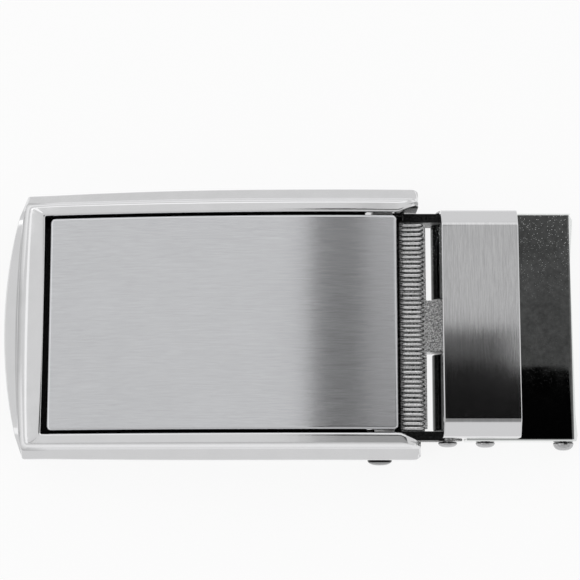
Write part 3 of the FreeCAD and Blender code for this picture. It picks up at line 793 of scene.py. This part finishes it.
def section_points():
    """The rounded section as one dictionary for each of its points."""
    rows = list(FRAME_SECTION.values())
    floor_drop = -arch_height(RAIL_LEFT * MM) / MM
    drops = [floor_drop if row[1] is None else row[1] for row in rows]
    rail_shares = rounding([(row[0], drop, row[6], row[7]) for row, drop in zip(rows, drops)])
    bar_rounds = [BAR_ROUNDING.get(name, row[6]) for name, row in FRAME_SECTION.items()]
    bar_shares = rounding([(row[2], row[3], radius, row[7]) for row, radius in zip(rows, bar_rounds)])
    rail_y, _, bar_x, bar_z, corner_x, radius = list(zip(*rows))[:6]
    columns = {
        "rail_y": blend(rail_y, rail_shares),
        "drop": blend(drops, rail_shares),
        "bar_x": blend(bar_x, bar_shares),
        "bar_z": blend(bar_z, bar_shares),
        "corner_x": blend(corner_x, rail_shares),
        "radius": blend(radius, rail_shares),
        "on_floor": [drops[index] == floor_drop for index, _, _ in rail_shares],
        "inner": [rows[index][0] < 19 for index, _, _ in rail_shares],
    }
    return [dict(zip(columns, values)) for values in zip(*columns.values())]


print("rounded section", len(section_points()), "points")

# %% [markdown]
# The rounded section is carried round the frame in three stretches: straight along the rail, round the plan
# corner, and along the left bar, which bows outwards and upwards to its middle.


# %% Rail, corner and bar
def rail_point(point, x):
    """Half width and height of a line of the section at x."""
    y = rail_half_width(point["rail_y"], x, point["inner"])
    z = 0.0 if point["on_floor"] else max(rail_height(point["drop"], x), 0.0)
    return y, z


def corner_point(point, turn):
    """A line of the section in the round left corner, turned by an angle from rail to bar."""
    y, z = rail_point(point, point["corner_x"])
    y_rail = rail_point(point, RAIL_LEFT)[0]
    x = point["corner_x"] + point["radius"] * (1 - math.sin(turn))
    return x, y_rail - point["radius"] * (1 - math.cos(turn)), z


def bar_point(point, y, on_wall):
    """A line of the section on the bowed left bar. Its foot stands on the floor only beside the strap."""
    share = min(abs(y) / point["rail_y"], 1.0)
    x = point["bar_x"] + (point["corner_x"] - point["bar_x"]) * share**2
    if point["on_floor"] and on_wall:
        return x, 0.0
    end = rail_point(point, point["corner_x"])[1]
    if point["on_floor"]:
        return x, point["bar_z"]
    return x, point["bar_z"] + (end - point["bar_z"]) * share**6


print("left bar from x", min(point["bar_x"] for point in section_points()), "mm")

# %% [markdown]
# The rings are closest where the shape turns. An attribute marks the left bar's groove, where its finish
# paints shade.


# %% Frame
SLOT_SIDE = 18.2
GROOVE_FROM = -41.0
ROLL_STEPS = 10
RAIL_STEPS = 40
ARC_STEPS = 8
BAR_STEPS = 24


def frame_rings():
    """Rings from the far rail's right end round the left bar to the near rail's right end."""
    section = section_points()
    angles = [math.radians(90 - 90 * step / ROLL_STEPS) for step in range(ROLL_STEPS + 1)]
    xs = [ROLL_START + ROLL * math.sin(angle) for angle in angles]
    xs += [ROLL_START + (RAIL_LEFT - ROLL_START) * step / RAIL_STEPS for step in range(1, RAIL_STEPS + 1)]
    turns = [math.radians(90 * step / ARC_STEPS) for step in range(ARC_STEPS + 1)]
    sides = []
    for side in (1, -1):
        rings = []
        for x in xs:
            places = [rail_point(point, x) for point in section]
            rings.append([Vector((x, side * y, z)) * MM for y, z in places])
        for turn in turns:
            places = [corner_point(point, turn) for point in section]
            rings.append([Vector((x, side * y, z)) * MM for x, y, z in places])
        ends = [min(SLOT_SIDE, corner_point(point, turns[-1])[1]) for point in section]
        places = [bar_point(point, end, True) for point, end in zip(section, ends)]
        rings.append([Vector((x, side * end, z)) * MM for end, (x, z) in zip(ends, places)])
        sides.append(rings)
    middle = []
    for step in range(BAR_STEPS + 1):
        ys = [end * (1 - 2 * step / BAR_STEPS) for end in ends]
        places = [bar_point(point, y, False) for point, y in zip(section, ys)]
        middle.append([Vector((x, y, z)) * MM for y, (x, z) in zip(ys, places)])
    return sides[0] + middle + sides[1][::-1]


frame_mesh = loft("bezel_frame_cast", frame_rings())
ring_rows = [name for name, row in FRAME_SECTION.items() for _ in range(row[7] + 1)]
ring_count = len(frame_mesh.vertices) // len(ring_rows)
spots = zip(ring_rows * ring_count, frame_mesh.vertices)
# The groove's mark is painted shade in the frame's finish.
marks = [float(row == "foot" and vertex.co.x < GROOVE_FROM * MM) for row, vertex in spots]
groove_shade = frame_mesh.attributes.new("groove_shade", "FLOAT", "POINT")
groove_shade.data.foreach_set("value", marks)
finish_piece(frame_mesh, "bezel_frame")

# %% [markdown]
# The face plate is a flat slab bent over the same arch. Its rings stand across the belt, close together at
# both ends, where the plan corners and the rolled edge need them.

# %% Face plate
PLATE_LEFT = -39.5
PLATE_RIGHT = 17.2
PLATE_HALF = 17.4
PLATE_SUNK = 0.1
PLATE_THICK = 1.5
PLATE_CORNER = 0.8
PLATE_EDGE = 0.5
PLATE_EVEN_FROM = 1.2
PLATE_EVEN_STEPS = 56
# How far in from each end the close rings stand.
PLATE_END_RINGS = [0.0, 0.02, 0.06, 0.12, 0.2, 0.3, 0.42, 0.56, 0.8]


def rounded_inset(distance, radius):
    """How far a rounded corner draws back at a distance from the end."""
    short = max(radius - distance, 0)
    return radius - math.sqrt(radius**2 - short**2)


def plate_rings():
    """Rings across the belt from the plate's left end to its right end."""
    first = PLATE_LEFT + PLATE_EVEN_FROM
    length = PLATE_RIGHT - PLATE_LEFT - 2 * PLATE_EVEN_FROM
    xs = [PLATE_LEFT + inset for inset in PLATE_END_RINGS]
    xs += [first + length * step / PLATE_EVEN_STEPS for step in range(PLATE_EVEN_STEPS + 1)]
    xs += [PLATE_RIGHT - inset for inset in reversed(PLATE_END_RINGS)]
    rings = []
    for x in xs:
        from_end = min(x - PLATE_LEFT, PLATE_RIGHT - x)
        half = PLATE_HALF - rounded_inset(from_end, PLATE_CORNER)
        level = arch_height(x * MM) / MM
        top = level - PLATE_SUNK - rounded_inset(from_end, PLATE_EDGE)
        low = level - PLATE_THICK
        upper = [(-half, top, PLATE_EDGE, 6), (half, top, PLATE_EDGE, 6)]
        section = [(-half, low, 0.1, 1), *upper, (half, low, 0.1, 1)]
        rings.append([Vector((x, y, z)) * MM for y, z in rounded_corners(section)])
    return rings


finish_piece(loft("face_plate_bent", plate_rings()), "face_plate")

# %% [markdown]
# Four rivets hold the buckle together. Each is turned: a shaft and two low domed heads, with painted shade
# under the rim of the head, which an attribute on the mesh marks for the finish.

# %% Rivets
# Each row: x, z (None takes it from the node's box), shaft radius, head radius, where the heads start,
# near and far end, how far up the head the shade is painted, and how much darker the rest of it is.
RIVETS = {
    "lever_pin": (14.6, 2.4, 0.8, 2.05, 21.75, 22.75, 22.75, 0.45, 0.4),
    "hinge_pin": (25.8, 2.4, 0.9, 1.6, 18.97, 19.8, 19.8, 0.0, 0.0),
    "stop_pin": (32.0, None, 0.75, 1.6, 18.95, 19.85, 19.85, 0.0, 0.0),
    "jaw_pin": (44.9, 1.8, 0.6, 1.7, 18.95, 20.3, 19.2, 0.0, 0.0),
}
HEAD_FOOT = 0.1
TURN_STEPS = 40
DOME_STEPS = 8
RIVET_SHARP = 40


def half_rivet(shaft, head, foot, top, shade_height, darkening):
    """Half a rivet's profile, from shaft to head: distance along the pin, radius and darkening, which is
    painted shade under the rim.
    """
    rows = [(foot, shaft, 0.0), (foot, head * 0.9, 1.0), (foot + HEAD_FOOT, head * 0.97, 1.0)]
    for step in range(1, DOME_STEPS + 1):
        turn = math.radians(90 * step / DOME_STEPS)
        rise = (top - foot - HEAD_FOOT) * math.sin(turn)
        radius = head * max(math.cos(turn), 0.02) ** 0.75
        rows.append((foot + HEAD_FOOT + rise, radius, 1.0 if rise < shade_height else darkening))
    return rows


def rivet(node, x, z, shaft, head, foot, top, far_top, shade_height, darkening):
    """A rivet along Y through (x, z)."""
    if z is None:
        low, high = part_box(node)
        z = (low.z + high.z) / 2 / MM
    near = half_rivet(shaft, head, foot, top, shade_height, darkening)
    far = half_rivet(shaft, head, foot, far_top, shade_height, darkening)
    profile = [(-y, r, shade_and_darkening) for y, r, shade_and_darkening in reversed(near)] + far
    rings = []
    turns = [math.tau * step / TURN_STEPS for step in range(TURN_STEPS)]
    for y, radius, _ in profile:
        circle = [(x + radius * math.cos(turn), y, z + radius * math.sin(turn)) for turn in turns]
        rings.append([Vector(spot) * MM for spot in circle])
    mesh = loft(node + "_turned", rings)
    shade_and_darkening = mesh.attributes.new("shade_and_darkening", "FLOAT", "POINT")
    shade_and_darkening.data.foreach_set("value", [row[2] for row in profile for _ in range(TURN_STEPS)])
    finish_piece(mesh, node, RIVET_SHARP)


for node, sizes in RIVETS.items():
    rivet(node, *sizes)

# %% [markdown]
# The clasp is one bent sheet: a web with two side walls, and at its left end two tabs that are rolled round
# the hinge pin. The channel is a loft along the belt, whose columns end where the sheet ends, and each rolled
# tab is a side view swept across.

# %% Clasp channel
WEB_TOP = 4.8
SHEET = 0.8
CHANNEL_OUTER = 18.9
CHANNEL_INNER = 17.9
CHANNEL_LEFT = 28.7
WALL_RIGHT = 47.0
WEB_RIGHT = 45.95
WEB_BOW = 0.35
HINGE_X = 25.8
HINGE_Z = 2.4
BARREL_RADIUS = 2.4
BARREL_INNER = 4.6
BARREL_OUTER = 17.15
channel_section = [
    (-CHANNEL_OUTER, 0.0, 0.15, 2),
    (-CHANNEL_OUTER, WEB_TOP, 0.4, 4),
    (0.0, WEB_TOP, 0.0, 1),
    (CHANNEL_OUTER, WEB_TOP, 0.4, 4),
    (CHANNEL_OUTER, 0.0, 0.15, 2),
    (CHANNEL_INNER, 0.0, 0.15, 2),
    (CHANNEL_INNER, WEB_TOP - SHEET, 0.2, 2),
    (0.0, WEB_TOP - SHEET, 0.0, 1),
    (-CHANNEL_INNER, WEB_TOP - SHEET, 0.2, 2),
    (-CHANNEL_INNER, 0.0, 0.15, 2),
]
WALL_TOE_ROUND = 1.3


def channel_right(y, z):
    """Where the sheet ends: the web in a hollow curve, and the walls further on in a rounded toe."""
    if abs(y) < CHANNEL_INNER - 0.4:
        return WEB_RIGHT - WEB_BOW * (1 - (y / CHANNEL_INNER) ** 2)
    low = max(WALL_TOE_ROUND - z, 0)
    high = max(z - (WEB_TOP - WALL_TOE_ROUND), 0)
    cut = WALL_TOE_ROUND - math.sqrt(max(WALL_TOE_ROUND**2 - max(low, high) ** 2, 0))
    return max(WALL_RIGHT - cut, WEB_RIGHT)


def channel_rings():
    """Rings along the belt, the last one drawn in for an eased edge."""
    outline = rounded_corners(channel_section)
    web_edge = 0.12
    rings = []
    for step in range(13):
        share = step / 12
        ring = []
        for y, z in outline:
            right = channel_right(y, z) - web_edge
            left = CHANNEL_LEFT + (1.0 - math.sqrt(1 - min(z / WEB_TOP, 1) ** 2 * 0.3)) * 0.2
            ring.append(Vector((left + (right - left) * share, y, z)) * MM)
        rings.append(ring)
    eased = []
    for point, (y, z) in zip(rings[-1], outline):
        toward = -1 if z > WEB_TOP - SHEET / 2 and abs(y) < CHANNEL_INNER else 0
        eased.append(point + Vector((web_edge, 0, toward * web_edge)) * MM)
    return rings + [eased]


print("channel section", len(channel_section), "corners")

# %% Rolled tabs
TAB_LAP = 0.6
TAB_STEPS = 40
# The rings at each end of a tab: how far along each stands, and how far it draws in.
TAB_EASE = [(0.0, 0.2), (0.06, 0.06), (0.2, 0.0)]


def rolled_tab(name, y0, y1):
    """A tab of the sheet rolled round the pin, its side view swept from y0 to y1 with eased ends."""
    outline = [(CHANNEL_LEFT + TAB_LAP, WEB_TOP), (HINGE_X, WEB_TOP)]
    stop = math.degrees(math.asin((WEB_TOP - SHEET - HINGE_Z) / BARREL_RADIUS))
    for step in range(1, TAB_STEPS + 1):
        turn = math.radians(90 + (270 + stop) * step / TAB_STEPS)
        across, upward = BARREL_RADIUS * math.cos(turn), BARREL_RADIUS * math.sin(turn)
        outline.append((HINGE_X + across, HINGE_Z + upward))
    outline.append((CHANNEL_LEFT + TAB_LAP, WEB_TOP - SHEET))
    centre = Vector((HINGE_X, HINGE_Z))
    places = [(y0 + along, inset) for along, inset in TAB_EASE]
    places += [(y1 - along, inset) for along, inset in reversed(TAB_EASE)]
    rings = []
    for y, inset in places:
        ring = []
        for x, z in outline:
            reach = inset if x < HINGE_X + BARREL_RADIUS else 0
            inward = (centre - Vector((x, z))).normalized() * reach
            ring.append(Vector((x + inward.x, y, z + inward.y)) * MM)
        rings.append(ring)
    return loft(name, rings)


def joined(name, meshes):
    """Several meshes as one."""
    work = bmesh.new()
    for mesh in meshes:
        work.from_mesh(mesh)
        bpy.data.meshes.remove(mesh)
    whole = bpy.data.meshes.new(name)
    work.to_mesh(whole)
    work.free()
    return whole


clasp_meshes = [
    loft("channel", channel_rings()),
    rolled_tab("near_tab", -BARREL_OUTER, -BARREL_INNER),
    rolled_tab("far_tab", BARREL_INNER, BARREL_OUTER),
]
finish_piece(joined("clasp_channel_sheet", clasp_meshes), "clasp_channel")

# %% [markdown]
# The keeper band is a flat strip bent over the belt in five straights. Its rings follow the bends, so the
# polished creases come out as even round lines.

# %% Keeper band
BAND_LEFT = 24.5
BAND_RIGHT = 37.0
BAND_NOTCH_RIGHT = 29.0
BAND_NOTCH_TOP = 5.8
BAND_EDGE = 0.22
# Each bend: outer half width, outer height, inner half width, inner height, outer radius, steps.
BAND_BENDS = [
    (18.6, 4.82, 17.6, 4.82, 0.0, 0),
    (18.6, BAND_NOTCH_TOP - 0.01, 17.6, BAND_NOTCH_TOP - 0.01, 0.0, 0),
    (18.6, BAND_NOTCH_TOP + 0.01, 17.6, BAND_NOTCH_TOP + 0.01, 0.0, 0),
    (18.6, 9.4, 17.6, 8.8, 0.9, 8),
    (15.9, 10.8, 15.5, 9.8, 1.9, 10),
]


def band_rings():
    """Rings along the bent strip, from its near foot to its far one."""
    bends = [(side * row[0], row[1], side * row[2], *row[3:]) for side in (-1, 1) for row in BAND_BENDS]
    half = len(BAND_BENDS)
    bends = bends[:half] + bends[half:][::-1]
    shares = rounding([(row[0], row[1], row[4], max(row[5], 1)) for row in bends])
    outer = blend([Vector(row[0:2]) for row in bends], shares)
    inner = blend([Vector(row[2:4]) for row in bends], shares)
    rings = []
    for out, back in zip(outer, inner):
        left = BAND_NOTCH_RIGHT if out.y < BAND_NOTCH_TOP else BAND_LEFT
        outside = [(left, 1, BAND_EDGE, 4), (BAND_RIGHT, 1, BAND_EDGE, 4)]
        strip = [(left, 0, 0.08, 1), *outside, (BAND_RIGHT, 0, 0.08, 1)]
        ring = []
        for x, depth in rounded_corners(strip):
            y, z = back + (out - back) * depth
            ring.append(Vector((x, y, z)) * MM)
        rings.append(ring)
    return rings


finish_piece(loft("keeper_band_bent", band_rings()), "keeper_band")

# %% [markdown]
# The base plate keeps its solid and gets small additions: thin feet that close its notches, and a raised
# border to the right of the ridges. The feet sit where only shade is seen, and the raw casting's painted
# shade makes them dark.


# %% Feet and border
# Each notch: left and right x, inner and outer half width.
NOTCHES = [(16.95, 19.2, 18.2, 19.28), (-42.0, -37.5, 17.0, 19.28)]
NOTCH_THICK = 0.3
# The border's section: x, height, rounding, steps.
BORDER = [(21.4, 3.9, 0, 1), (22.35, 3.9, 0.1, 2), (22.35, 4.72, 0.15, 3), (21.4, 4.72, 0, 1)]


def foot(left, right, near, far):
    """A thin flat bar on the floor of a notch."""
    section = [(near, 0), (far, 0), (far, NOTCH_THICK), (near, NOTCH_THICK)]
    return loft("foot", [[Vector((x, y, z)) * MM for y, z in section] for x in (left, right)])


small_meshes = []
for left, right, inner, outer in NOTCHES:
    small_meshes += [foot(left, right, -outer, -inner), foot(left, right, inner, outer)]
outline = rounded_corners(BORDER)
border_rings = [[Vector((x, y, z)) * MM for x, z in outline] for y in (-PAINTED_SHADE_FROM, PAINTED_SHADE_FROM)]
small_meshes.append(loft("border", border_rings))
feet = bpy.data.objects.new("notch_feet", joined("notch_feet", small_meshes))
feet.data.materials.append(FINISHES["raw_cast_metal"])
scene.collection.objects.link(feet)
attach(feet, "frame")
print("feet and border", len(feet.data.polygons), "faces")

# %% [markdown]
# The strip at the right end of the base has 45 ridges along the belt, which hold the strap's track when the
# lever is shut. Geometry Nodes lay them: a line of points, a small rounded bar on each, and a little chance
# in length, width and height, because they were cast and not cut.


# %% Ribs
def rib_tree():
    """The Geometry Nodes tree of the strip: a line of points with a rounded bar on each."""
    tree = bpy.data.node_groups.new("rib_row", "GeometryNodeTree")
    tree.interface.new_socket("Geometry", in_out="OUTPUT", socket_type="NodeSocketGeometry")
    kinds = {"Count": "Int", "Start": "Vector", "Seed": "Int", "Material": "Material"}
    for name in ("Count", "Pitch", "Length", "Width", "Height", "Start", "Seed", "Material"):
        kind = "NodeSocket" + kinds.get(name, "Float")
        tree.interface.new_socket(name, in_out="INPUT", socket_type=kind)
    given = tree.nodes.new("NodeGroupInput").outputs
    step = add(tree, "ShaderNodeCombineXYZ", {"Y": given["Pitch"]}).outputs[0]
    row = {"Count": given["Count"], "Start Location": given["Start"], "Offset": step}
    line = add(tree, "GeometryNodeMeshLine", row, mode="OFFSET").outputs["Mesh"]
    ends = [times(tree, given["Length"], share) for share in (-0.5, 0.5)]
    left, right = [add(tree, "ShaderNodeCombineXYZ", {"X": end}).outputs[0] for end in ends]
    spine = add(tree, "GeometryNodeCurvePrimitiveLine", {"Start": left, "End": right}).outputs["Curve"]
    spine = add(tree, "GeometryNodeResampleCurve", {"Curve": spine, "Count": 9}).outputs["Curve"]
    factor = add(tree, "GeometryNodeSplineParameter").outputs["Factor"]
    centred = calc(tree, "MULTIPLY_ADD", factor, 2.0, -1.0)
    power = calc(tree, "POWER", centred, 10.0)
    taper = calc(tree, "MULTIPLY_ADD", power, -0.55, 1.0)
    radius = times(tree, times(tree, taper, given["Width"]), 0.5)
    circle = {"Resolution": 12, "Radius": 1.0}
    ring = add(tree, "GeometryNodeCurvePrimitiveCircle", circle).outputs["Curve"]
    rod = {"Curve": spine, "Profile Curve": ring, "Scale": radius, "Fill Caps": True}
    bar = add(tree, "GeometryNodeCurveToMesh", rod).outputs["Mesh"]
    tall = times(tree, calc(tree, "DIVIDE", given["Height"], given["Width"]), 2.0)
    flatten = add(tree, "ShaderNodeCombineXYZ", {"X": 1.0, "Y": 1.0, "Z": tall}).outputs[0]
    bar = add(tree, "GeometryNodeTransform", {"Geometry": bar, "Scale": flatten}).outputs["Geometry"]
    limits = {"Seed": given["Seed"], "Min": (0.95, 0.85, 0.82), "Max": (1.03, 1.1, 1.12)}
    chance = add(tree, "FunctionNodeRandomValue", limits, data_type="FLOAT_VECTOR")
    spots = {"Points": line, "Instance": bar, "Scale": chance.outputs["Value"]}
    placed = add(tree, "GeometryNodeInstanceOnPoints", spots).outputs["Instances"]
    real = add(tree, "GeometryNodeRealizeInstances", {"Geometry": placed}).outputs["Geometry"]
    painted = {"Geometry": real, "Material": given["Material"]}
    done = add(tree, "GeometryNodeSetMaterial", painted).outputs["Geometry"]
    tree.links.new(done, tree.nodes.new("NodeGroupOutput").inputs["Geometry"])
    return tree


def grown(name, tree, inputs):
    """Runs a tree on an empty mesh and keeps the result as a plain mesh."""
    holder = bpy.data.objects.new(name + "_seed", bpy.data.meshes.new(name + "_seed"))
    scene.collection.objects.link(holder)
    modifier = holder.modifiers.new("grown", "NODES")
    modifier.node_group = tree
    for item in tree.interface.items_tree:
        if item.in_out == "INPUT" and item.name in inputs:
            modifier[item.identifier] = inputs[item.name]
    evaluated = holder.evaluated_get(bpy.context.evaluated_depsgraph_get())
    mesh = bpy.data.meshes.new_from_object(evaluated)
    bpy.data.objects.remove(holder)
    mesh.name = name
    return mesh


print("rib helpers ready")

# %% Ribbed strip
RIB_END = 22.0 * MM
RIB_GAP = 0.4 * MM
RIB_WIDTH = 0.66 * MM
RIB_HEIGHT = 0.42 * MM
RIB_RISE = 0.02 * MM
RIB_SEED = 7
rib_length = RIB_END - STRIP_LEFT - RIB_GAP
rib_inputs = {
    "Count": RIB_COUNT,
    "Pitch": RIB_PITCH,
    "Length": rib_length,
    "Width": RIB_WIDTH,
    "Height": RIB_HEIGHT,
    "Start": (RIB_END - rib_length / 2, -RIB_PITCH * (RIB_COUNT - 1) / 2, STRIP_TOP + RIB_RISE),
    "Seed": RIB_SEED,
    "Material": ribbed_casting(),
}
rib_mesh = grown("ribbed_strip", rib_tree(), rib_inputs)
for polygon in rib_mesh.polygons:
    polygon.use_smooth = True
ribs = bpy.data.objects.new("ribbed_strip", rib_mesh)
scene.collection.objects.link(ribs)
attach(ribs, "frame")
print("ribs", len(rib_mesh.polygons), "faces")

# %% [markdown]
# The rest of the nodes keep their own meshes and only take their finish.

# %% Finishes on the solids
for node, solid in nodes.items():
    solid.data.materials.clear()
    solid.data.materials.append(FINISHES[SLOT_OF[node]])
print("finished", len(nodes), "nodes")
